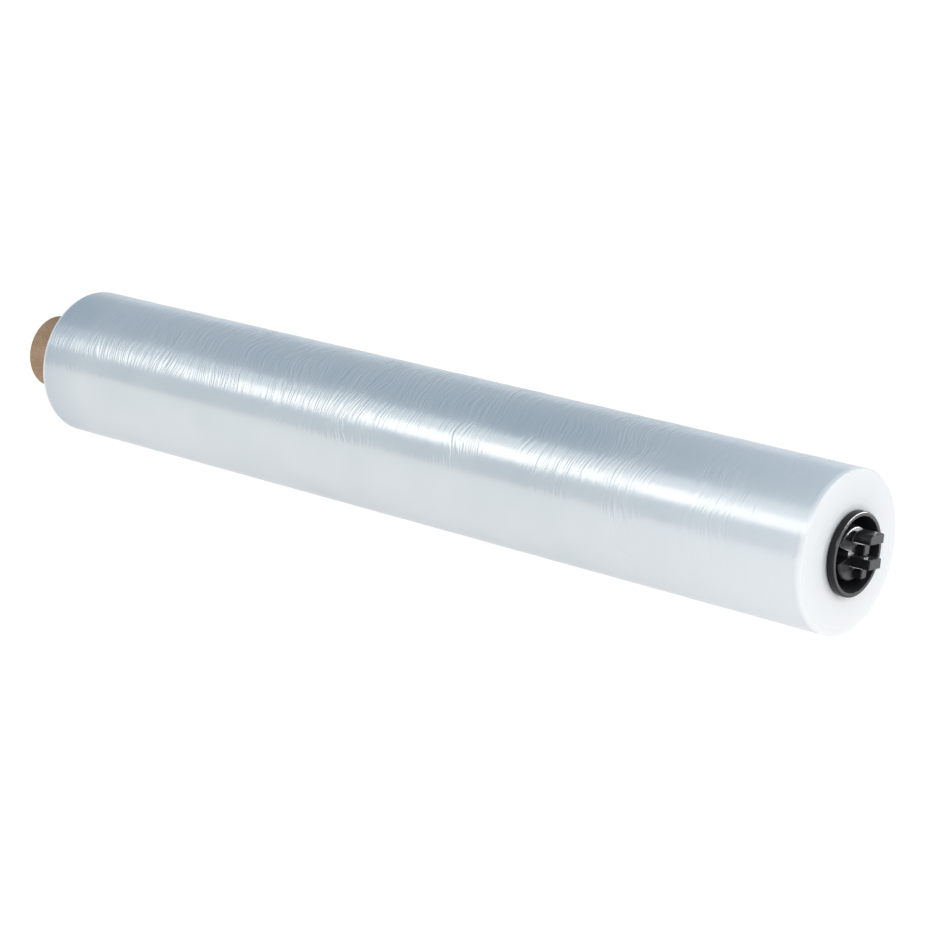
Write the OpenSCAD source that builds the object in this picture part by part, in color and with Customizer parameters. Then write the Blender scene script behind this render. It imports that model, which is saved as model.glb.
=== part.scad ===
// Catering roll of cling film: clear film wound on a card tube, with a moulded key plug in one end.
// The roll lies along X with the plug at +X, on the flat that its own weight presses into the film.
// The origin is under the middle of the whole length, on the surface that the roll lies on.

/* [Film] */
// Width of the film, which is the length of the wound roll
film_w = 450; // [300:10:600]
// Outer diameter of the wound film
film_d = 70.8; // [56:0.2:110]
// Rounding on the two outer edges of the wound film
film_edge_r = 0.6; // [0.2:0.1:1.5]
// How far the turns next to the tube have slipped along the roll, towards the plug
film_slip = 0.8; // [0:0.1:2]
// Width of the flat on the underside
rest_w = 12; // [7:0.5:16]
// Spacing of the winding bands on the ends of the roll
band_pitch = 2.4; // [1.6:0.1:5]
// Width of the groove between two winding bands
band_groove_w = 0.9; // [0.4:0.1:1.2]
// Depth of the groove between two winding bands
band_groove_d = 0.25; // [0.1:0.05:0.6]

/* [Card tube] */
// Outer diameter of the card tube
core_d = 36.4; // [30:0.2:44]
// Thickness of the card tube's wall
core_wall = 1.5; // [1:0.1:3]
// Length of bare tube beyond the film, at the end without the plug
core_tail = 29; // [5:1:60]
// Chamfer on the outer cut edge of the bare tube
core_chamfer = 0.4; // [0.1:0.1:0.8]
// Widening of the tube's bore where the plug has been pushed in
core_stretch = 0.25; // [0.2:0.05:0.5]
// Length of widened bore beyond the plug's sleeve
core_stretch_run = 1; // [0.5:0.5:5]

/* [Plug flange and sleeve] */
// How far the flange's rim stops short of the tube's outside
flange_inset = 0.1; // [0:0.05:0.5]
// Thickness of the flange, in front of the tube's end
flange_t = 3.4; // [2:0.1:6]
// Rounding on the flange's front edge
flange_edge_r = 0.7; // [0.3:0.1:1.2]
// Chamfer on the flange's back edge
flange_back_c = 0.3; // [0.1:0.1:0.6]
// Width of the flange's front ring
ring_w = 1.9; // [1.5:0.1:3]
// Depth of the flared mouth inside the front ring
mouth_depth = 3; // [1:0.1:3.5]
// How far the sleeve reaches into the tube
sleeve_len = 20; // [14:1:40]
// Clearance between the sleeve and the tube
sleeve_gap = 0.45; // [0.2:0.05:0.6]
// Thickness of the sleeve's wall
sleeve_wall = 1; // [0.8:0.1:2]
// Chamfer that leads the sleeve into the tube
sleeve_lead = 0.8; // [0.2:0.1:1]
// Number of grip ribs along the sleeve
rib_count = 8; // [3:1:16]
// Width of each grip rib
rib_w = 1.4; // [0.8:0.1:2]
// Clearance between the grip ribs and the tube
rib_gap = 0.02; // [0.01:0.01:0.08]
// Depth of the pocket, from the tube's end down to its floor
pocket_depth = 8.8; // [4:0.1:11]
// Thickness of the pocket's floor
floor_t = 1.8; // [1:0.1:2.5]

/* [Plug key] */
// Turn of the plug in the tube, clockwise as seen from its end
plug_turn = 9; // [-180:1:180]
// Width of the ring-shaped gap between the hub and the sleeve
moat_w = 4; // [2:0.1:5]
// Height of the hub's face above the tube's end
hub_rise = 1.4; // [0.5:0.1:4]
// Rounding on the rim of the hub's face
hub_edge_r = 0.9; // [0.2:0.1:1.4]
// Opening angle of the notch in the hub
notch_angle = 38; // [20:1:60]
// Radius of the post that the notch runs up to
post_r = 4.3; // [2:0.1:6]
// Distance from the axis to the far face of the row of teeth
tooth_far = 6.8; // [5:0.1:8]
// Distance from the axis to the near face of the short teeth
short_near = 2.8; // [0:0.1:4]
// Place of the upper tall tooth's near face, below zero on the notch's side of the axis
outer_tall_near = -3.6; // [-5:0.1:3]
// Place of the lower tall tooth's near face, below zero on the notch's side of the axis
inner_tall_near = -2; // [-4:0.1:3]
// Rounding of the upper tall tooth's corner towards the hub's rim
outer_tall_r = 3; // [0.5:0.1:4]
// Height above the hub's face of the foot round the upper tall tooth
foot_h = 1.8; // [0.8:0.1:3]
// How far that foot reaches beyond the tooth's near face
foot_w = 1.1; // [0.4:0.1:2]
// Length of each tooth along the row
tooth_l = 4.2; // [2:0.1:6]
// Place along the row of the tall tooth at its upper end
outer_tall_y = 7.8; // [6.5:0.1:9]
// Place along the row of the short tooth above the middle
inner_short_y = 1.7; // [0:0.1:4]
// Place along the row of the tall tooth below the middle
inner_tall_y = -2.8; // [-5:0.1:-1]
// Place along the row of the short tooth at its lower end
outer_short_y = -8.4; // [-9:0.1:-6.5]
// Height of a tall tooth above the hub's face
tall_h = 9.3; // [4:0.1:14]
// Height of a short tooth above the hub's face
short_h = 3.2; // [1:0.1:8]
// Chamfer round the end of each tooth
tooth_chamfer = 0.4; // [0.1:0.1:0.8]

/* [Hidden] */

$fn = 128;
// Overlap that keeps joined volumes and through cuts clean
lap = 0.5;
// Straight steps in each rounded corner of a turned profile
corner_steps = 4;

film_r = film_d / 2;
core_r = core_d / 2;
bore_r = core_r - core_wall;
stretched_r = bore_r + core_stretch;
// Height of the roll's axis above the surface, with the flat pressed in
axis_z = sqrt(film_r * film_r - rest_w * rest_w / 4);

// Radii of the plug, from the tube inwards
flange_r = core_r - flange_inset;
mouth_r = flange_r - ring_w;
sleeve_r = stretched_r - sleeve_gap;
pocket_r = sleeve_r - sleeve_wall;
hub_r = pocket_r - moat_w;

// Places along the roll, with the whole length centred on the origin
plug_reach = max(flange_t, hub_rise + max(tall_h, short_h));
total_len = core_tail + film_w + film_slip + plug_reach;
core_start_x = -total_len / 2;
film_start_x = core_start_x + core_tail;
plug_seat_x = film_start_x + film_w + film_slip;

// Place along the row, near face, height and corner rounding of each tooth, from the upper end down.
// The foot of the upper tall tooth is a low tooth of its own round it.
teeth = [
    [outer_tall_y, outer_tall_near, tall_h, outer_tall_r],
    [outer_tall_y, outer_tall_near - foot_w, foot_h, outer_tall_r],
    [inner_short_y, short_near, short_h, 0],
    [inner_tall_y, inner_tall_near, tall_h, 0],
    [outer_short_y, short_near, short_h, 0]
];

// Sets a shape that was drawn about Z on the roll's axis, starting at x and reaching towards +X.
// The drawing's X then points to +Y and its Y points up.
module on_axis(x) {
    translate([x, 0, axis_z]) rotate([90, 0, 90]) children();
}

// Points of a rounded corner in a turned profile, about the given centre
function corner(centre, r, from, to) = [
    for (i = [0 : corner_steps])
        let (a = from + (to - from) * i / corner_steps)
            centre + r * [cos(a), sin(a)]
];

// Radii of the grooves between the winding bands
function groove_radii() = [
    for (r = [core_r + band_pitch : band_pitch : film_r - film_edge_r - band_groove_w]) r
];

// Slip of the turn at a given radius: all of it at the tube, none at the rounded outer edge
function slip(r) = film_slip * (film_r - film_edge_r - r) / (film_r - film_edge_r - core_r);

// Point at a given radius and place along the film's width, moved by the slip of that turn
function end_point(r, y) = [r, y + slip(r)];

// Points of the grooves in one end of the roll, drawn from the tube outwards
function groove_points(y, depth) = [
    for (r = groove_radii())
        each [
            end_point(r - band_groove_w / 2, y),
            end_point(r, y + depth),
            end_point(r + band_groove_w / 2, y)
        ]
];

function reversed(points) = [for (i = [len(points) - 1 : -1 : 0]) points[i]];

// Half section of the wound film: radius along X, width of the film along Y
module film_section() {
    edge_x = film_r - film_edge_r;
    polygon(concat(
        [end_point(core_r, 0)],
        groove_points(0, band_groove_d),
        corner([edge_x, film_edge_r], film_edge_r, -90, 0),
        corner([edge_x, film_w - film_edge_r], film_edge_r, 0, 90),
        reversed(groove_points(film_w, -band_groove_d)),
        [end_point(core_r, film_w)]
    ));
}

// All the turns of film as one body, with the flat that it rests on
module film_roll() {
    color("#dde7ee")
        difference() {
            on_axis(film_start_x) rotate_extrude() film_section();
            translate([film_start_x - lap, -film_r, -film_d])
                cube([film_w + 2 * lap, film_d, film_d]);
        }
}

// Card tube that the film is wound on: flush with the inner turns at the plug, bare at the other end
module core_tube() {
    length = plug_seat_x - core_start_x;
    stretch_len = sleeve_len + core_stretch_run;
    color("#a98262")
        on_axis(core_start_x)
            difference() {
                union() {
                    cylinder(r1 = core_r - core_chamfer, r2 = core_r, h = core_chamfer);
                    translate([0, 0, core_chamfer]) cylinder(r = core_r, h = length - core_chamfer);
                }
                translate([0, 0, -lap]) cylinder(r = bore_r, h = length + 2 * lap);
                translate([0, 0, length - stretch_len]) cylinder(r = stretched_r, h = stretch_len + lap);
            }
}

// Flange that covers the tube's end, with its rounded front edge
module plug_flange() {
    rotate_extrude()
        polygon(concat(
            [[0, 0], [flange_r - flange_back_c, 0], [flange_r, flange_back_c]],
            corner([flange_r - flange_edge_r, flange_t - flange_edge_r], flange_edge_r, 0, 90),
            [[0, flange_t]]
        ));
}

// Sleeve inside the tube, with a chamfered lead and grip ribs
module plug_sleeve() {
    rib_r = rib_w / 2;
    translate([0, 0, -sleeve_len]) {
        cylinder(r1 = sleeve_r - sleeve_lead, r2 = sleeve_r, h = sleeve_lead);
        translate([0, 0, sleeve_lead]) cylinder(r = sleeve_r, h = sleeve_len - sleeve_lead + lap);
        for (i = [0 : rib_count - 1])
            rotate(360 * i / rib_count)
                translate([stretched_r - rib_gap - rib_r, 0, sleeve_lead])
                    cylinder(r = rib_r, h = sleeve_len - sleeve_lead, $fn = 32);
    }
}

// Space cut out of the plug: the pocket with its flared mouth, and the hollow behind the floor
module plug_hollow() {
    translate([0, 0, -pocket_depth]) cylinder(r = pocket_r, h = pocket_depth + flange_t + lap);
    translate([0, 0, flange_t - mouth_depth]) cylinder(r1 = pocket_r, r2 = mouth_r, h = mouth_depth);
    translate([0, 0, -sleeve_len - lap])
        cylinder(r = pocket_r, h = sleeve_len + lap - pocket_depth - floor_t);
}

// Notch that opens the hub on one side, from the post out to the moat
module hub_notch() {
    reach = pocket_r;
    half_w = reach * tan(notch_angle / 2);
    translate([0, 0, -pocket_depth])
        linear_extrude(pocket_depth + hub_rise + lap)
            difference() {
                polygon([[0, 0], [-reach, half_w], [-reach, -half_w]]);
                circle(r = post_r);
            }
}

// Round hub that stands on the pocket's floor, with its rounded rim and its notch
module plug_hub() {
    height = pocket_depth + hub_rise;
    difference() {
        translate([0, 0, -pocket_depth - floor_t / 2])
            rotate_extrude()
                polygon(concat(
                    [[0, 0], [hub_r, 0]],
                    corner([hub_r - hub_edge_r, height + floor_t / 2 - hub_edge_r], hub_edge_r, 0, 90),
                    [[0, height + floor_t / 2]]
                ));
        hub_notch();
    }
}

// Bar of the given width and height with chamfered top edges, running a given length along Y
module chamfered_bar(width, height, length) {
    c = tooth_chamfer;
    rotate([90, 0, 0])
        linear_extrude(length, center = true)
            polygon([
                [-width / 2, 0], [width / 2, 0], [width / 2, height - c],
                [width / 2 - c, height], [c - width / 2, height], [-width / 2, height - c]
            ]);
}

// Outline of a tooth from its near face to the row's far face, with one near corner rounded
module tooth_outline(near, corner_r) {
    difference() {
        translate([near, -tooth_l / 2]) square([tooth_far - near, tooth_l]);
        if (corner_r > 0)
            translate([near, tooth_l / 2])
                difference() {
                    translate([-lap, -corner_r]) square(corner_r + lap);
                    translate([corner_r, -corner_r]) circle(r = corner_r);
                }
    }
}

// One key tooth of the given height above the hub's face, chamfered round its end
module key_tooth(near, height, corner_r) {
    width = tooth_far - near;
    full = height + hub_edge_r + lap;
    translate([0, 0, hub_rise - hub_edge_r - lap])
        intersection() {
            linear_extrude(full) tooth_outline(near, corner_r);
            translate([near + width / 2, 0, 0]) chamfered_bar(width, full, tooth_l);
            translate([near + width / 2, 0, 0]) rotate(90) chamfered_bar(tooth_l, full, width);
        }
}

// Row of teeth, tall and short by turns, trimmed to the hub's outline
module key_teeth() {
    intersection() {
        for (tooth = teeth)
            translate([0, tooth[0], 0]) key_tooth(tooth[1], tooth[2], tooth[3]);
        translate([0, 0, -pocket_depth]) cylinder(r = hub_r, h = pocket_depth + plug_reach + lap);
    }
}

// End plug, one moulding: flange, sleeve, floor, hub and key teeth
module end_plug() {
    color("#1c1c1f")
        on_axis(plug_seat_x)
            rotate(-plug_turn) {
                difference() {
                    union() {
                        plug_flange();
                        plug_sleeve();
                    }
                    plug_hollow();
                }
                plug_hub();
                key_teeth();
            }
}

film_roll();
core_tube();
end_plug();
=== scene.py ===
"""Looks of a catering roll of cling film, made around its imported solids.

Clear stretch film is wound on a tube of kraft card. The tube stands out bare at one end of the film and
carries a black moulded key plug at the other. Lengths are in metres unless a name says mm, and an angle
round the roll is measured from straight up, towards the side that faces the camera.
"""

from __future__ import annotations

import logging
import math
from dataclasses import dataclass
from enum import Enum, IntEnum
from typing import Any

import bpy
import numpy as np
from mathutils import Matrix, Vector


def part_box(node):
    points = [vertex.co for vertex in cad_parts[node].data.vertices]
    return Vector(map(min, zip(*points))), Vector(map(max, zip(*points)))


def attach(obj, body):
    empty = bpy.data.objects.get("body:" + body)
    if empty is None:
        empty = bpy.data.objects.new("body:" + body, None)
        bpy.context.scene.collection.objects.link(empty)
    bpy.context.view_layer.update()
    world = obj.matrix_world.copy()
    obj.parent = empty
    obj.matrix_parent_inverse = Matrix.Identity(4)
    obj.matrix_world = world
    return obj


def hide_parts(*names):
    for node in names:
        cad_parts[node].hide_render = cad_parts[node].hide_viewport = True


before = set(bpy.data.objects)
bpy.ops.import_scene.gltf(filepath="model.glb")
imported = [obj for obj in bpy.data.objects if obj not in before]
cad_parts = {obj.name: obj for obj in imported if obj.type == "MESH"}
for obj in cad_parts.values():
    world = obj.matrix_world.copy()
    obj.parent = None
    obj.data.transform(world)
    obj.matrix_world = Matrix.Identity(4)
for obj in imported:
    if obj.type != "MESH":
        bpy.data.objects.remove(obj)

LOG = logging.getLogger("cling_film_roll")
MM = 0.001
TURN = 2 * math.pi
CORNER = math.radians(50)
WHITE = "#ffffff"
SEAM = "seam"
BODY = "root"

Tree = bpy.types.NodeTree
Node = bpy.types.Node
Output = bpy.types.NodeSocket
Material = bpy.types.Material
Piece = bpy.types.Object


class Slot(str, Enum):
    """Material slots of the record, for the film and the card; no piece in this script takes them."""

    FILM = "film"
    CARD = "card"


class FilmFace(IntEnum):
    """Which finish a face of the wound film takes."""

    WRAP = 0
    END = 1


class Way(str, Enum):
    """The axis along which the film's look changes."""

    ALONG = "X"
    UP = "Z"


def linear(hex_colour: str) -> tuple[float, float, float, float]:
    """Turns an sRGB colour into linear light.

    Args:
        hex_colour: Six hex digits after a hash.

    Returns:
        Red, green, blue and a full alpha.
    """
    srgb = np.array([int(hex_colour[i:i + 2], 16) for i in (1, 3, 5)]) / 255
    rgb = np.where(srgb <= 0.04045, srgb / 12.92, ((srgb + 0.055) / 1.055) ** 2.4)
    return (*map(float, rgb), 1.0)


def add_node(tree: Tree, kind: str, sockets: dict[Any, Any] | None = None, **settings: Any) -> Node:
    """Adds a node with its settings, and sets or links its inputs.

    Args:
        tree: The node tree.
        kind: The node's type, such as ShaderNodeBump.
        sockets: For each input, by name or number, a value or the output that feeds it.
        settings: The node's own properties.

    Returns:
        The new node.
    """
    node = tree.nodes.new(kind)
    for name, value in settings.items():
        setattr(node, name, value)
    for key, value in (sockets or {}).items():
        if isinstance(value, bpy.types.NodeSocket):
            tree.links.new(value, node.inputs[key])
        else:
            node.inputs[key].default_value = value
    return node


def new_material(name: str) -> tuple[Material, Tree, Node]:
    """Starts a node material.

    Args:
        name: The real material's name.

    Returns:
        The material, its node tree and its Principled shader, which is linked to the output.
    """
    material = bpy.data.materials.new(name)
    material.use_nodes = True
    tree = material.node_tree
    tree.nodes.clear()
    shader = add_node(tree, "ShaderNodeBsdfPrincipled")
    add_node(tree, "ShaderNodeOutputMaterial", {"Surface": shader.outputs["BSDF"]})
    return material, tree, shader


@dataclass(frozen=True)
class Grain:
    """A cloudy pattern whose grains have a real length along the roll and across it.

    Detail is the number of finer patterns that are laid over it.
    """

    along_mm: float
    across_mm: float
    detail: float = 2.0

    def add(self, tree: Tree, place: Output | None = None) -> Output:
        """Adds the pattern to a node tree.

        Args:
            tree: The node tree.
            place: The coordinates to use, or None for the object's own.

        Returns:
            The pattern's value, from 0 to 1.
        """
        place = place or add_node(tree, "ShaderNodeTexCoord").outputs["Object"]
        scale = (1 / (self.along_mm * MM), 1 / (self.across_mm * MM), 1 / (self.across_mm * MM))
        mapped = add_node(tree, "ShaderNodeMapping", {"Vector": place, "Scale": scale}).outputs["Vector"]
        sockets = {"Vector": mapped, "Scale": 1.0, "Detail": self.detail}
        return add_node(tree, "ShaderNodeTexNoise", sockets).outputs["Fac"]


def quad_grid(rows: int, columns: int) -> np.ndarray:
    """Numbers the corners of the quads of a grid that closes on itself both ways.

    The corners run (i, j), (i, j + 1), (i + 1, j + 1), (i + 1, j), with i + 1 and j + 1 taken round.

    Args:
        rows: Number of rings.
        columns: Number of points in a ring.

    Returns:
        One row of four point numbers for each quad.
    """
    i, j = np.meshgrid(np.arange(rows), np.arange(columns), indexing="ij")
    down, right = (i + 1) % rows, (j + 1) % columns
    corners = (i * columns + j, i * columns + right, down * columns + right, down * columns + j)
    return np.stack(corners, axis=-1).reshape(-1, 4)


def turned(x: np.ndarray, radius: np.ndarray, angle: np.ndarray, axis_z: float) -> np.ndarray:
    """Carries a section round the roll's axis: a point is (x, -r sin a, axis + r cos a).

    Args:
        x: Place along the roll, for each row.
        radius: Radius for each row and column.
        angle: Angle round the roll, for each column.
        axis_z: Height of the axis.

    Returns:
        One row of three coordinates for each point.
    """
    points = np.empty((*radius.shape, 3))
    points[..., 0] = x[:, None]
    points[..., 1] = -radius * np.sin(angle)
    points[..., 2] = axis_z + radius * np.cos(angle)
    return points.reshape(-1, 3)


def make_piece(name: str, points: np.ndarray, quads: np.ndarray, finish: np.ndarray | None = None) -> Piece:
    """Puts a surface of quads into a mesh at the origin.

    Args:
        name: Name of the piece.
        points: One row of three coordinates for each point.
        quads: Four point numbers for each quad.
        finish: Number of the material of each quad, or None for the first material.

    Returns:
        The new object, smooth all over but for its corners.
    """
    mesh = bpy.data.meshes.new(name)
    mesh.vertices.add(len(points))
    mesh.vertices.foreach_set("co", np.ascontiguousarray(points, np.float32).ravel())
    mesh.loops.add(quads.size)
    mesh.loops.foreach_set("vertex_index", quads.astype(np.int32).ravel())
    mesh.polygons.add(len(quads))
    mesh.polygons.foreach_set("loop_start", np.arange(0, quads.size, 4, dtype=np.int32))
    if finish is not None:
        mesh.polygons.foreach_set("material_index", finish.astype(np.int32))
    mesh.polygons.foreach_set("use_smooth", np.ones(len(quads), bool))
    mesh.update(calc_edges=True)
    mesh.validate()
    mesh.set_sharp_from_angle(angle=CORNER)
    piece = bpy.data.objects.new(name, mesh)
    bpy.context.scene.collection.objects.link(piece)
    return piece


def settle(piece: Piece, node: str) -> Piece:
    """Lets a piece ride on the roll and stand for one of its solids.

    Args:
        piece: The new piece.
        node: The solid that it replaces.

    Returns:
        The same piece.
    """
    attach(piece, BODY)
    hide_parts(node)
    return piece


@dataclass(frozen=True)
class StretchFilm:
    """Cling film, cast and wound tight: many clear layers mirror the room like pale, bluish silver.

    Fine hair-lines run round the roll, so a lamp is drawn out into a streak along it and broken up by them.
    They are drawn a little coarser than real ones, so that they show. At the bare end and low on the roll
    they are calmer. Near the plug light gets in between the layers; that light is painted into the wrap as
    a paler, milkier tone. A painted highlight, a near-white tone, runs along both rims, and painted shade
    darkens the wrap towards the bare end.
    """

    pale: str = "#dbdfe1"
    cool: str = "#cdd3d7"
    # Painted light: a paler, milkier tone for the light let in near the plug.
    milky: str = "#dfe3e6"
    # Painted highlight: a near-white tone along both rims of the wrap.
    rim: str = "#f8f8f7"
    # Painted shade: a darker, cooler tone at the bare end.
    shade: str = "#c6cdd3"
    edge: str = "#e3e6e9"
    mirror: float = 0.84
    mirror_at_end: float = 0.43
    mirror_at_rim: float = 0.05
    painted_milky_run_mm: float = 130.0
    painted_milky_falloff: float = 1.1
    painted_rim_near_mm: float = 3.2
    painted_rim_far_mm: float = 1.8
    painted_shade_run_mm: float = 26.0
    patch: Grain = Grain(30.0, 30.0)
    rough_patch: tuple[float, float] = (0.3, 0.7)
    rough_low: float = 0.2
    rough_high: float = 0.27
    hair: Grain = Grain(0.85, 10.0, 0.0)
    strand: Grain = Grain(1.7, 16.0, 0.0)
    strand_share: float = 0.45
    lean: Grain = Grain(45.0, 26.0, 1.0)
    lean_reach_mm: float = 9.0
    hair_height_mm: float = 0.45
    hair_patch: tuple[float, float] = (0.36, 0.6)
    hair_strength: float = 0.2
    quiet_run_mm: float = 130.0
    quiet_strength: float = 0.45
    pressed_mm: tuple[float, float] = (8.0, 42.0)
    pressed_strength: float = 0.25

    def make(self, start_x: float, end_x: float) -> Material:
        """Builds the material.

        Args:
            start_x: Where the film starts, at the bare end of the tube.
            end_x: Where it ends, at the plug.

        Returns:
            The node material.
        """
        material, tree, shader = new_material("clear stretch film, wound")
        patch = self.patch.add(tree)
        # Painted shade: the wrap is drawn darker over the last few centimetres at the bare end.
        far_end = self.share(tree, start_x + self.painted_shade_run_mm * MM, start_x)
        # Painted light: the wrap is drawn paler and milkier towards the plug.
        bent = {0: self.share(tree, end_x - self.painted_milky_run_mm * MM, end_x), 1: self.painted_milky_falloff}
        near_end = add_node(tree, "ShaderNodeMath", bent, operation="POWER").outputs["Value"]
        # Painted highlight: the last few millimetres of the wrap at both ends are drawn near-white.
        rims = {
            0: self.share(tree, end_x - self.painted_rim_near_mm * MM, end_x),
            1: self.share(tree, start_x + self.painted_rim_far_mm * MM, start_x),
        }
        rim = add_node(tree, "ShaderNodeMath", rims, operation="MAXIMUM").outputs["Value"]

        colour: Any = linear(self.cool)
        # Random patches are the film's own tone; the layers after them paint shade, light and highlight.
        tones = ((patch, self.pale), (far_end, self.shade), (near_end, self.milky), (rim, self.rim))
        for share, tone in tones:
            sockets = {"Factor": share, "A": colour, "B": linear(tone)}
            colour = add_node(tree, "ShaderNodeMix", sockets, data_type="RGBA").outputs["Result"]
        tree.links.new(colour, shader.inputs["Base Color"])
        shader.inputs["Specular Tint"].default_value = linear(self.edge)

        mirror: Any = self.mirror
        for share, weaker in ((near_end, self.mirror_at_end), (rim, self.mirror_at_rim)):
            sockets = {"Value": share, "To Min": mirror, "To Max": weaker}
            mirror = add_node(tree, "ShaderNodeMapRange", sockets).outputs["Result"]
        tree.links.new(mirror, shader.inputs["Metallic"])

        low, high = self.rough_patch
        rough = add_node(
            tree, "ShaderNodeMapRange",
            {"Value": patch, "From Min": low, "From Max": high, "To Min": self.rough_low,
             "To Max": self.rough_high},
        )
        tree.links.new(rough.outputs["Result"], shader.inputs["Roughness"])
        tree.links.new(self.relief(tree, patch, start_x), shader.inputs["Normal"])
        return material

    def relief(self, tree: Tree, patch: Output, start_x: float) -> Output:
        """Raises the hair-lines, less so in patches, at the bare end and low on the roll.

        Args:
            tree: The node tree.
            patch: The cloudy pattern by which they come and go.
            start_x: Where the film starts, at the bare end of the tube.

        Returns:
            The surface's normal.
        """
        place = self.leaning(tree)
        hair, strand = self.hair.add(tree, place), self.strand.add(tree, place)
        lines = {"Factor": self.strand_share, "A": hair, "B": strand}
        height = add_node(tree, "ShaderNodeMix", lines, data_type="FLOAT").outputs["Result"]

        low, high = self.hair_patch
        limits = {"Value": patch, "From Min": low, "From Max": high, "To Min": self.hair_strength}
        strength = add_node(tree, "ShaderNodeMapRange", limits).outputs["Result"]
        pressed_mm, free_mm = self.pressed_mm
        calming = (
            self.share(tree, start_x, start_x + self.quiet_run_mm * MM, least=self.quiet_strength),
            self.share(tree, pressed_mm * MM, free_mm * MM, Way.UP, self.pressed_strength),
        )
        for share in calming:
            factors = {0: strength, 1: share}
            strength = add_node(tree, "ShaderNodeMath", factors, operation="MULTIPLY").outputs["Value"]
        sockets = {"Height": height, "Distance": self.hair_height_mm * MM, "Strength": strength}
        return add_node(tree, "ShaderNodeBump", sockets).outputs["Normal"]

    def leaning(self, tree: Tree) -> Output:
        """Pushes the coordinates to and fro along the roll, so that lines round it lean and cross.

        Args:
            tree: The node tree.

        Returns:
            The coordinates.
        """
        place = add_node(tree, "ShaderNodeTexCoord").outputs["Object"]
        reach = self.lean_reach_mm * MM
        limits = {"Value": self.lean.add(tree), "To Min": -reach, "To Max": reach}
        push = add_node(tree, "ShaderNodeMapRange", limits)
        shift = add_node(tree, "ShaderNodeCombineXYZ", {"X": push.outputs["Result"]})
        pushed = {0: place, 1: shift.outputs["Vector"]}
        return add_node(tree, "ShaderNodeVectorMath", pushed, operation="ADD").outputs["Vector"]

    def share(
        self, tree: Tree, none_at: float, full_at: float, way: Way = Way.ALONG, least: float = 0.0,
    ) -> Output:
        """Adds a share that rises evenly along an axis, up to 1.

        Args:
            tree: The node tree.
            none_at: Where it is least, and beyond.
            full_at: Where it is 1, and beyond.
            way: The axis.
            least: The share that it rises from.

        Returns:
            The share.
        """
        place = add_node(tree, "ShaderNodeTexCoord").outputs["Object"]
        along = add_node(tree, "ShaderNodeSeparateXYZ", {"Vector": place}).outputs[way.value]
        limits = {"Value": along, "From Min": none_at, "From Max": full_at, "To Min": least}
        return add_node(tree, "ShaderNodeMapRange", limits).outputs["Result"]


@dataclass(frozen=True)
class FilmEnd:
    """Cut edges of thousands of layers of film: they scatter light, so the end is milky white and soft."""

    pale: str = "#f6f5f4"
    cool: str = "#eff0ef"
    rough: float = 0.42
    ring_mm: float = 0.55
    ring_detail: float = 3.0
    ring_height_mm: float = 0.03
    ring_strength: float = 0.6
    glow: float = 0.5
    glow_mm: float = 6.0
    glow_spread: tuple[float, float, float] = (1.0, 1.0, 1.0)

    def make(self, axis_z: float) -> Material:
        """Builds the material, with its tone in rings round the axis.

        Args:
            axis_z: Height of the roll's axis.

        Returns:
            The node material.
        """
        material, tree, shader = new_material("cut edges of wound film")
        place = add_node(tree, "ShaderNodeTexCoord").outputs["Object"]
        flattened = {"Vector": place, "Location": (0, 0, -axis_z), "Scale": (0, 1, 1)}
        across = add_node(tree, "ShaderNodeMapping", flattened).outputs["Vector"]
        radius = add_node(tree, "ShaderNodeVectorMath", {0: across}, operation="LENGTH").outputs["Value"]
        sockets = {"W": radius, "Scale": 1 / (self.ring_mm * MM), "Detail": self.ring_detail}
        rings = add_node(tree, "ShaderNodeTexNoise", sockets, noise_dimensions="1D").outputs["Fac"]
        sockets = {"Factor": rings, "A": linear(self.cool), "B": linear(self.pale)}
        tone = add_node(tree, "ShaderNodeMix", sockets, data_type="RGBA")
        tree.links.new(tone.outputs["Result"], shader.inputs["Base Color"])
        shader.inputs["Roughness"].default_value = self.rough
        shader.inputs["Subsurface Weight"].default_value = self.glow
        shader.inputs["Subsurface Radius"].default_value = self.glow_spread
        shader.inputs["Subsurface Scale"].default_value = self.glow_mm * MM
        sockets = {"Height": rings, "Distance": self.ring_height_mm * MM, "Strength": self.ring_strength}
        bump = add_node(tree, "ShaderNodeBump", sockets)
        tree.links.new(bump.outputs["Normal"], shader.inputs["Normal"])
        return material


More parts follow.
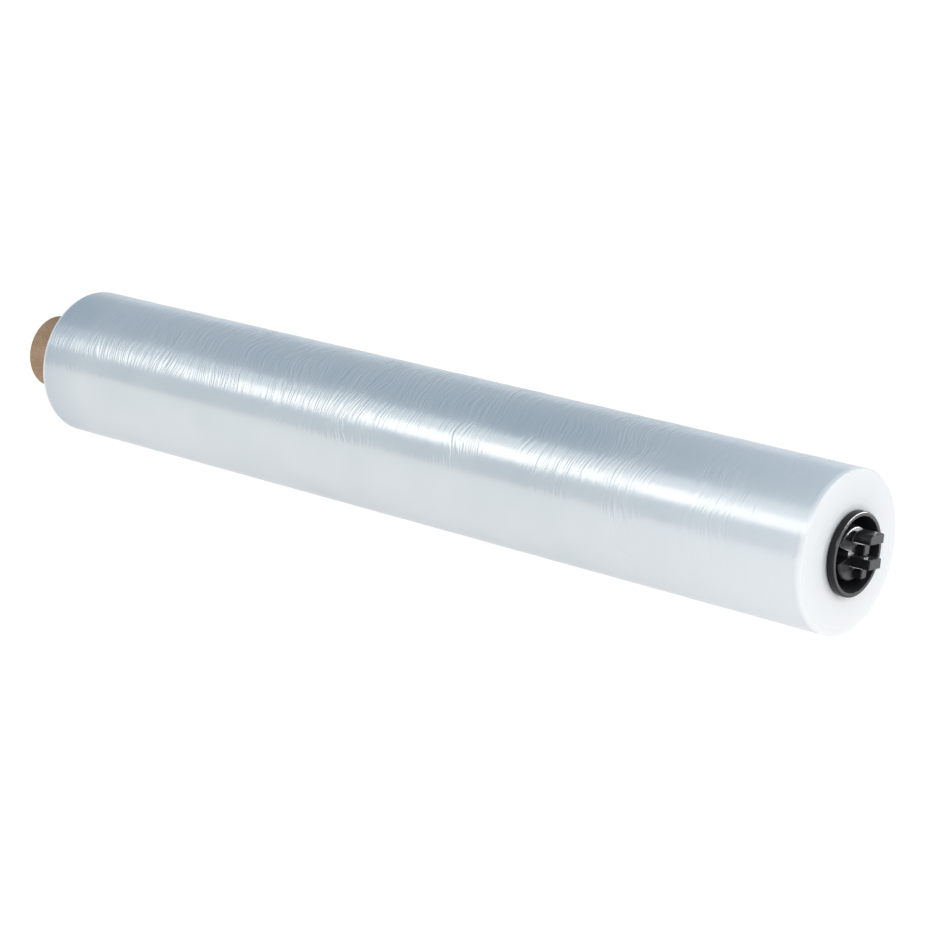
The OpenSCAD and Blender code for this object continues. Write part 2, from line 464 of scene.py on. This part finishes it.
@dataclass
class WoundFilm:
    """All the turns of film as one closed surface, softly creased round the roll and pressed flat below.

    A swell is its length, height, sway and phase; a ripple its height, length and phase; and a wave of the
    loose edge its angle and length.
    """

    start_x: float
    end_x: float
    radius: float
    bore_radius: float
    axis_z: float
    slip: float = 0.8 * MM
    edge_round: float = 0.6 * MM
    lap: float = 0.4 * MM
    columns: int = 112
    side_rows: int = 780
    edge_rows: int = 6
    end_rows: int = 26
    swells_mm: tuple[tuple[float, float, float, float], ...] = (
        (37.0, 0.06, 9.0, 0.4), (19.0, 0.035, 6.0, 2.1), (11.3, 0.018, 4.0, 4.0), (6.7, 0.006, 3.0, 5.2),
    )
    crease_count: int = 90
    fold_count: int = 12
    crease_spans: tuple[float, float] = (0.5, 1.6)
    crease_slant_mm: float = 1.0
    fold_slant_mm: float = 8.0
    crease_bow_mm: float = 1.2
    crease_widths_mm: tuple[float, float] = (1.8, 3.2)
    crease_depths_mm: tuple[float, float] = (0.006, 0.016)
    fold_deeper: float = 1.6
    seed: int = 11
    layer_step: float = 0.05 * MM
    loose_edge_angle: float = math.radians(300)
    loose_edge_waves: tuple[tuple[float, float], ...] = ((0.03, 0.21), (0.012, 0.057))
    ripples_mm: tuple[tuple[float, float, float], ...] = ((0.05, 2.4, 0.0), (0.03, 5.9, 1.0))
    ripple_fade: float = 1.5 * MM

    def slow_swell(self, x: np.ndarray, angle: np.ndarray) -> np.ndarray:
        """Depth of the bands in the winding: sine waves along the roll, each swaying once round it.

        Args:
            x: Place along the roll, for each row.
            angle: Angle round the roll, for each column.

        Returns:
            Depth for each row and column, never below zero.
        """
        depth = np.zeros((len(x), len(angle)))
        for length_mm, height_mm, sway_mm, phase in self.swells_mm:
            sway = sway_mm * MM * np.sin(angle + phase)
            wave = np.sin(TURN * (x[:, None] + sway[None, :]) / (length_mm * MM) + phase)
            depth += height_mm * MM * (1 + wave) / 2
        return depth

    def creases(self, x: np.ndarray, angle: np.ndarray) -> np.ndarray:
        """Depth of the soft creases that run round the roll, and of a few slanting folds.

        Each has a centre line x = x0 + slant * t + bow * t * t, where t is the angle from its middle.
        Across that line its depth is a bell curve, and along it a raised cosine that ends at its span.

        Args:
            x: Place along the roll, for each row.
            angle: Angle round the roll, for each column.

        Returns:
            Depth for each row and column.
        """
        draw = np.random.default_rng(self.seed)
        depth = np.zeros((len(x), len(angle)))
        for number in range(self.crease_count + self.fold_count):
            fold = number >= self.crease_count
            x0 = draw.uniform(self.start_x, self.end_x)
            middle = draw.uniform(0, TURN)
            span = draw.uniform(*self.crease_spans)
            slant = draw.normal(0, self.fold_slant_mm if fold else self.crease_slant_mm) * MM
            bow = draw.normal(0, self.crease_bow_mm) * MM
            width = draw.uniform(*self.crease_widths_mm) * MM
            deep = draw.uniform(*self.crease_depths_mm) * (self.fold_deeper if fold else 1.0) * MM
            t = (angle - middle + math.pi) % TURN - math.pi
            along = np.where(np.abs(t) < span, 0.5 + 0.5 * np.cos(math.pi * t / span), 0.0)
            off = x[:, None] - (x0 + slant * t + bow * t * t)[None, :]
            depth += deep * along[None, :] * np.exp(-(off / width) ** 2)
        return depth

    def last_layer(self, x: np.ndarray, angle: np.ndarray) -> np.ndarray:
        """Depth below the outermost layer: it grows evenly round one turn and drops at the loose edge.

        The edge lies at an angle that sways along the roll by two sine waves.

        Args:
            x: Place along the roll, for each row.
            angle: Angle round the roll, for each column.

        Returns:
            Depth for each row and column.
        """
        edge = np.full(len(x), self.loose_edge_angle)
        for sway, length in self.loose_edge_waves:
            edge += sway * np.sin(TURN * x / length)
        return self.layer_step * (((edge[:, None] - angle[None, :]) / TURN) % 1.0)

    def end_ripple(self, r: np.ndarray) -> np.ndarray:
        """How far the layers' edges stand back from the end: two sine waves of the radius, zero at the rim.

        Args:
            r: Radius, for each row.

        Returns:
            Depth for each row.
        """
        depth_mm = np.zeros(len(r))
        for height_mm, length_mm, phase in self.ripples_mm:
            depth_mm += height_mm * (1 + np.sin(TURN * r / (length_mm * MM) + phase))
        rim = np.clip((self.radius - self.edge_round - r) / self.ripple_fade, 0, 1)
        return depth_mm * MM * rim

    def surface(self) -> tuple[np.ndarray, np.ndarray, np.ndarray]:
        """Carries the roll's closed half section round its axis, with the creases taken off the side.

        The turns next to the tube have slipped towards the plug, evenly less so further out, and lap over
        the tube's chamfered end there. Nothing lies below the floor.

        Returns:
            Points, quads and the finish of each quad.
        """
        angle = np.arange(self.columns) * TURN / self.columns
        bend = np.linspace(0, math.pi / 2, self.edge_rows)
        inner_r = self.radius - self.edge_round
        end_r = np.linspace(self.bore_radius, inner_r, self.end_rows, endpoint=False)
        slip = self.slip * (inner_r - end_r) / (inner_r - self.bore_radius)
        side_x = np.linspace(self.start_x + self.edge_round, self.end_x - self.edge_round, self.side_rows)
        lip_x, lip_r = self.edge_round * (1 - np.sin(bend)), inner_r + self.edge_round * np.cos(bend)

        x = np.concatenate((
            self.start_x + slip + self.end_ripple(end_r), self.start_x + lip_x[::-1], side_x[1:-1],
            self.end_x - lip_x, (self.end_x + slip - self.end_ripple(end_r))[::-1],
            [self.end_x + self.slip, self.end_x + self.slip - self.lap],
        ))
        side_r = np.full(self.side_rows - 2, self.radius)
        lap_r = [self.bore_radius - self.lap, self.bore_radius]
        r = np.concatenate((end_r, lip_r[::-1], side_r, lip_r, end_r[::-1], lap_r))
        depth = self.slow_swell(x, angle) + self.creases(x, angle) + self.last_layer(x, angle)
        radius = r[:, None] - depth * (r >= inner_r)[:, None]
        points = turned(x, radius, angle, self.axis_z)
        points[:, 2] = np.maximum(points[:, 2], 0.0)

        row = np.repeat(np.arange(len(x)), self.columns)
        on_side = (row >= self.end_rows) & (row < len(x) - self.end_rows - len(lap_r) - 1)
        return points, quad_grid(len(x), self.columns), np.where(on_side, FilmFace.WRAP, FilmFace.END)

    def build(self) -> Piece:
        """Makes the piece and dresses it.

        Returns:
            The piece.
        """
        piece = make_piece("wound_film", *self.surface())
        piece.data.materials.append(StretchFilm().make(self.start_x, self.end_x))
        piece.data.materials.append(FilmEnd().make(self.axis_z))
        return settle(piece, "film_roll")


@dataclass(frozen=True)
class KraftCard:
    """Unbleached kraft card, wound in a spiral and glued: brown, matt, with flecks and fibres."""

    brown: str = "#957960"
    light: str = "#b3977f"
    seam: str = "#7d634f"
    fibre: Grain = Grain(2.2, 0.8, 5.0)
    patch: Grain = Grain(14.0, 9.0)
    patch_share: float = 0.4
    brown_below: float = 0.32
    light_above: float = 0.68
    rough_low: float = 0.72
    rough_high: float = 0.95
    shine: float = 0.08
    fibre_height_mm: float = 0.05
    fibre_strength: float = 0.8

    def make(self) -> Material:
        """Builds the material, with the seam's tone read from the piece's own attribute.

        Returns:
            The node material.
        """
        material, tree, shader = new_material("spiral kraft card")
        fibre = self.fibre.add(tree)
        flecks = {"Factor": self.patch_share, "A": fibre, "B": self.patch.add(tree)}
        spread = add_node(tree, "ShaderNodeMix", flecks, data_type="FLOAT").outputs["Result"]
        limits = {"Value": spread, "From Min": self.brown_below, "From Max": self.light_above}
        fleck = add_node(tree, "ShaderNodeMapRange", limits).outputs["Result"]
        seam = add_node(tree, "ShaderNodeAttribute", attribute_name=SEAM).outputs["Fac"]

        colour: Any = linear(self.brown)
        for share, tone in ((fleck, self.light), (seam, self.seam)):
            sockets = {"Factor": share, "A": colour, "B": linear(tone)}
            colour = add_node(tree, "ShaderNodeMix", sockets, data_type="RGBA").outputs["Result"]
        tree.links.new(colour, shader.inputs["Base Color"])
        limits = {"Value": fibre, "To Min": self.rough_low, "To Max": self.rough_high}
        rough = add_node(tree, "ShaderNodeMapRange", limits)
        tree.links.new(rough.outputs["Result"], shader.inputs["Roughness"])
        shader.inputs["Specular IOR Level"].default_value = self.shine
        sockets = {"Height": fibre, "Distance": self.fibre_height_mm * MM, "Strength": self.fibre_strength}
        bump = add_node(tree, "ShaderNodeBump", sockets)
        tree.links.new(bump.outputs["Normal"], shader.inputs["Normal"])
        return material


@dataclass
class CardTube:
    """Card tube with the spiral joint of its outer ply, bare beyond the film and widened by the plug."""

    start_x: float
    end_x: float
    radius: float
    axis_z: float
    bare_end_x: float
    wall: float = 1.5 * MM
    widening: float = 0.25 * MM
    widened_run: float = 20 * MM
    widening_taper: float = 1 * MM
    columns: int = 128
    bare_rows: int = 70
    hidden_rows: int = 60
    ply_pitch: float = 62 * MM
    joint_angle: float = math.radians(215)
    seam_width: float = 0.6 * MM
    seam_depth: float = 0.12 * MM
    edge_round: float = 0.4 * MM
    edge_rows: int = 5

    def seam_share(self, x: np.ndarray, angle: np.ndarray) -> np.ndarray:
        """Bell curve of the distance along the roll from the joint of the outer ply.

        The joint is the helix x = start + pitch * (angle - joint angle) / turn.

        Args:
            x: Place along the roll, for each row.
            angle: Angle round the roll, for each column.

        Returns:
            Share for each row and column, 1 in the joint.
        """
        turns = (x[:, None] - self.start_x) / self.ply_pitch - (angle[None, :] - self.joint_angle) / TURN
        phase = (turns + 0.5) % 1.0 - 0.5
        return np.exp(-(phase * self.ply_pitch / self.seam_width) ** 2)

    def surface(self) -> tuple[np.ndarray, np.ndarray, np.ndarray]:
        """Carries the wall's closed section round the axis and sinks the joint into its outside.

        The section runs along the outside from the bare end, which is rounded, to the plug's, which is
        chamfered, and back along the bore.

        Returns:
            Points, quads and the share of the seam at each point.
        """
        angle = np.arange(self.columns) * TURN / self.columns
        bend = np.linspace(math.pi / 2, 0, self.edge_rows)
        bore_r, mid_r = self.radius - self.wall, self.radius - self.wall / 2
        seat_x, chamfer_x = self.end_x - self.widened_run, self.end_x - self.edge_round
        lip_x = self.start_x + self.edge_round * (1 - np.sin(bend))
        lip_r = self.radius - self.edge_round * (1 - np.cos(bend))
        bare_x = np.linspace(lip_x[-1], self.bare_end_x, self.bare_rows, endpoint=False)[1:]
        hidden_x = np.linspace(self.bare_end_x, chamfer_x, self.hidden_rows, endpoint=False)
        bore_x = np.linspace(seat_x - self.widening_taper, self.start_x, self.hidden_rows)
        x = np.concatenate((
            [self.start_x], lip_x, bare_x, hidden_x, [chamfer_x, self.end_x, self.end_x, seat_x], bore_x,
        ))
        outer_rows = len(bare_x) + len(hidden_x) + 1
        r = np.concatenate((
            [mid_r], lip_r, np.full(outer_rows, self.radius), [self.radius - self.edge_round],
            np.full(2, bore_r + self.widening), np.full(len(bore_x), bore_r),
        ))
        seam = self.seam_share(x, angle) * ((r > mid_r) & (x > self.start_x) & (x < self.end_x))[:, None]
        points = turned(x, r[:, None] - self.seam_depth * seam, angle, self.axis_z)
        return points, quad_grid(len(x), self.columns), seam.ravel()

    def build(self) -> Piece:
        """Makes the piece and dresses it.

        Returns:
            The piece.
        """
        points, quads, seam = self.surface()
        piece = make_piece("card_tube", points, quads)
        layer = piece.data.attributes.new(SEAM, "FLOAT", "POINT")
        layer.data.foreach_set("value", seam.astype(np.float32))
        piece.data.materials.append(KraftCard().make())
        return settle(piece, "core_tube")


@dataclass(frozen=True)
class BlackPlastic:
    """Injection-moulded black polypropylene: deep black, satin under a thin gloss, with a fine grain.

    Its faces and rounded rims take a soft grey from the lamps, so they stand out beside black hollows.
    """

    black: str = "#08080a"
    rubbed: str = "#101013"
    rough_low: float = 0.44
    rough_high: float = 0.54
    refraction: float = 1.26
    gloss_coat: float = 0.25
    coat_rough: float = 0.08
    pores: Grain = Grain(0.35, 0.35)
    pore_height_mm: float = 0.012
    pore_strength: float = 0.5
    patch: Grain = Grain(4.0, 4.0, 3.0)

    def make(self) -> Material:
        """Builds the material.

        Returns:
            The node material.
        """
        material, tree, shader = new_material("moulded black polypropylene")
        patch = self.patch.add(tree)
        sockets = {"Factor": patch, "A": linear(self.black), "B": linear(self.rubbed)}
        tone = add_node(tree, "ShaderNodeMix", sockets, data_type="RGBA")
        tree.links.new(tone.outputs["Result"], shader.inputs["Base Color"])
        limits = {"Value": patch, "To Min": self.rough_low, "To Max": self.rough_high}
        rough = add_node(tree, "ShaderNodeMapRange", limits)
        tree.links.new(rough.outputs["Result"], shader.inputs["Roughness"])
        shader.inputs["IOR"].default_value = self.refraction
        shader.inputs["Coat Weight"].default_value = self.gloss_coat
        shader.inputs["Coat Roughness"].default_value = self.coat_rough
        pores, depth = self.pores.add(tree), self.pore_height_mm * MM
        sockets = {"Height": pores, "Distance": depth, "Strength": self.pore_strength}
        bump = add_node(tree, "ShaderNodeBump", sockets)
        tree.links.new(bump.outputs["Normal"], shader.inputs["Normal"])
        return material


@dataclass
class KeyPlug:
    """The moulded plug: its solid as built, with the small rounding that a mould leaves on its edges."""

    weld_gap: float = 0.002 * MM
    edge_round: float = 0.22 * MM
    edge_steps: int = 2
    edge_angle: float = math.radians(35)

    def build(self) -> Piece:
        """Dresses the solid and rounds its edges with modifiers, which leave its mesh as it is.

        Returns:
            The solid.
        """
        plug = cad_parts["end_plug"]
        plug.data.materials.clear()
        plug.data.materials.append(BlackPlastic().make())
        weld = plug.modifiers.new("joined facets", "WELD")
        weld.merge_threshold = self.weld_gap
        rounding = plug.modifiers.new("moulded edges", "BEVEL")
        rounding.width = self.edge_round
        rounding.segments = self.edge_steps
        rounding.limit_method = "ANGLE"
        rounding.angle_limit = self.edge_angle
        rounding.harden_normals = True
        return plug


@dataclass(frozen=True)
class Softbox:
    """A rectangular soft light that faces a point on the roll's axis.

    Brightness is that of its face, where 1 is the white of the floor.
    """

    name: str
    along: float
    toward: tuple[float, float, float]
    away: float
    width: float
    height: float
    brightness: float
    tint: str = WHITE

    def hang(self, axis_z: float, lit: Piece | None = None) -> None:
        """Makes the light, which the camera itself doesn't see.

        Args:
            axis_z: Height of the roll's axis.
            lit: The only piece that it lights, or None for all of them.
        """
        data = bpy.data.lights.new(self.name, "AREA")
        data.shape = "RECTANGLE"
        data.size, data.size_y = self.width, self.height
        data.energy = self.brightness * math.pi * self.width * self.height
        data.color = linear(self.tint)[:3]
        light = bpy.data.objects.new(self.name, data)
        back = Vector(self.toward).normalized()
        place = Vector((self.along, 0, axis_z)) + back * self.away
        light.matrix_world = Matrix.Translation(place) @ back.to_track_quat("Z", "Y").to_matrix().to_4x4()
        light.visible_camera = False
        if lit:
            receivers = bpy.data.collections.new(self.name)
            receivers.objects.link(lit)
            light.light_linking.receiver_collection = receivers
        bpy.context.scene.collection.objects.link(light)


@dataclass
class Studio:
    """Floor, soft lights, surroundings and camera."""

    axis_z: float
    near_end_x: float
    azimuth: float = math.radians(40.44)
    elevation: float = math.radians(17.54)
    lens_mm: float = 113.3
    sensor_mm: float = 36.0
    clip_near: float = 0.01
    clip_far: float = 50.0
    near_right: float = 0.15731
    near_down: float = 0.03638
    near_ahead: float = 1.19025
    floor_half: float = 40.0
    floor_drop: float = 0.02 * MM
    floor_tone: str = "#606060"
    floor_glow: float = 0.96
    floor_shine: float = 0.0
    floor_fleck: Grain = Grain(1.5, 1.5)
    floor_rough_low: float = 0.8
    floor_rough_high: float = 0.95
    lights: tuple[Softbox, ...] = (
        Softbox("strip_light", -0.62, (0.0, -0.777, 0.629), 1.45, 1.9, 0.44, 0.85, "#fff6ec"),
        Softbox("wash_light", -0.62, (0.0, -0.669, 0.743), 1.45, 1.9, 0.92, 0.5, "#fff6ec"),
        Softbox("top_light", 0.35, (0.2, 0.0, 1.0), 1.9, 1.4, 1.6, 0.4),
        Softbox("front_light", 0.25, (0.45, -0.62, 0.64), 1.5, 0.7, 0.7, 2.8),
        Softbox("side_light", 0.2, (0.8, 0.5, 0.28), 1.5, 0.9, 0.7, 2.0),
        Softbox("back_light", -1.60, (0.0, 0.98, 0.19), 2.05, 3.2, 0.9, 0.25),
    )
    plug_lights: tuple[Softbox, ...] = (
        Softbox("plug_key", 0.24, (0.78, -0.48, 0.4), 1.2, 0.2, 0.3, 60.0),
        Softbox("plug_kicker", 0.24, (0.62, 0.76, 0.12), 1.0, 0.6, 0.2, 100.0),
    )
    room_left: float = 1.08
    room_right: float = 0.68
    room_tones: tuple[tuple[float, str], ...] = (
        (0.0, "#d7dee4"), (0.2, "#dde5eb"), (0.4, "#cdd8e2"), (0.6, "#beccd7"), (0.8, "#adbecb"),
        (1.0, "#9baebc"),
    )

    def camera(self) -> None:
        """Places the camera so that the film's near end lies where the photograph shows it."""
        ahead = Vector((-math.sin(self.azimuth), math.cos(self.azimuth), 0))
        right = Vector((math.cos(self.azimuth), math.sin(self.azimuth), 0))
        level, rise = math.cos(self.elevation), math.sin(self.elevation)
        forward = level * ahead - rise * Vector((0, 0, 1))
        up = level * Vector((0, 0, 1)) + rise * ahead
        near = Vector((self.near_end_x, 0, self.axis_z))
        place = near - self.near_right * right + self.near_down * up - self.near_ahead * forward
        data = bpy.data.cameras.new("camera")
        data.lens = self.lens_mm
        data.sensor_width = self.sensor_mm
        data.clip_start, data.clip_end = self.clip_near, self.clip_far
        camera = bpy.data.objects.new("camera", data)
        turn = Matrix((right, up, -forward)).transposed().to_4x4()
        camera.matrix_world = Matrix.Translation(place) @ turn
        bpy.context.scene.collection.objects.link(camera)
        bpy.context.scene.camera = camera

    def floor(self) -> None:
        """Lays a plain pale floor, part of whose light comes from itself, as on a lit table."""
        side = np.array([-self.floor_half, self.floor_half])
        x, y = np.meshgrid(side, side, indexing="ij")
        points = np.stack((x, y, np.full_like(x, -self.floor_drop)), axis=-1).reshape(-1, 3)
        floor = make_piece("floor", points, np.array([[0, 2, 3, 1]]))
        material, tree, shader = new_material("matt white sweep")
        fleck = self.floor_fleck.add(tree)
        limits = {"Value": fleck, "To Min": self.floor_rough_low, "To Max": self.floor_rough_high}
        rough = add_node(tree, "ShaderNodeMapRange", limits)
        tree.links.new(rough.outputs["Result"], shader.inputs["Roughness"])
        shader.inputs["Base Color"].default_value = linear(self.floor_tone)
        shader.inputs["Specular IOR Level"].default_value = self.floor_shine
        shader.inputs["Emission Color"].default_value = linear(WHITE)
        shader.inputs["Emission Strength"].default_value = self.floor_glow
        floor.data.materials.append(material)

    def surroundings(self) -> None:
        """Gives the room its tone: pale low down, bluish grey above, and dimmer towards the plug's side."""
        world = bpy.data.worlds.new("studio")
        bpy.context.scene.world = world
        world.use_nodes = True
        tree = world.node_tree
        tree.nodes.clear()
        place = add_node(tree, "ShaderNodeTexCoord").outputs["Generated"]
        ways = add_node(tree, "ShaderNodeSeparateXYZ", {"Vector": place}).outputs
        limits = {"Value": ways["X"], "From Min": -1.0, "To Min": self.room_left, "To Max": self.room_right}
        dim = add_node(tree, "ShaderNodeMapRange", limits).outputs["Result"]
        ramp = add_node(tree, "ShaderNodeValToRGB", {"Fac": ways["Z"]})
        stops = ramp.color_ramp.elements
        while len(stops) < len(self.room_tones):
            stops.new(1.0)
        for stop, (at, tone) in zip(stops, self.room_tones):
            stop.position = at
            stop.color = linear(tone)
        sky = add_node(tree, "ShaderNodeBackground", {"Color": ramp.outputs["Color"], "Strength": dim})
        add_node(tree, "ShaderNodeOutputWorld", {"Surface": sky.outputs["Background"]})

    def build(self, plug: Piece) -> None:
        """Sets up the whole studio.

        Args:
            plug: The black plug, which has two small lamps of its own.
        """
        self.camera()
        self.floor()
        self.surroundings()
        for light in self.lights:
            light.hang(self.axis_z)
        for light in self.plug_lights:
            light.hang(self.axis_z, plug)
        bpy.context.scene.view_settings.view_transform = "Standard"


def main() -> None:
    """Builds the pieces in order and reports each one."""
    logging.basicConfig(level=logging.INFO, format="%(name)s: %(message)s")
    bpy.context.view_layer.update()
    film_low, film_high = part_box("film_roll")
    tube_low, tube_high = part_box("core_tube")
    radius = (film_high.y - film_low.y) / 2
    tube_radius = (tube_high.y - tube_low.y) / 2
    axis_z = film_high.z - radius
    film_end_x = film_high.x - WoundFilm.slip

    pieces = (
        WoundFilm(film_low.x, film_end_x, radius, tube_radius, axis_z).build(),
        CardTube(tube_low.x, tube_high.x, tube_radius, axis_z, film_low.x).build(),
        KeyPlug().build(),
    )
    Studio(axis_z, film_end_x).build(pieces[-1])
    for piece in pieces:
        LOG.info("%s: %d faces", piece.name, len(piece.data.polygons))


if __name__ == "__main__":
    main()
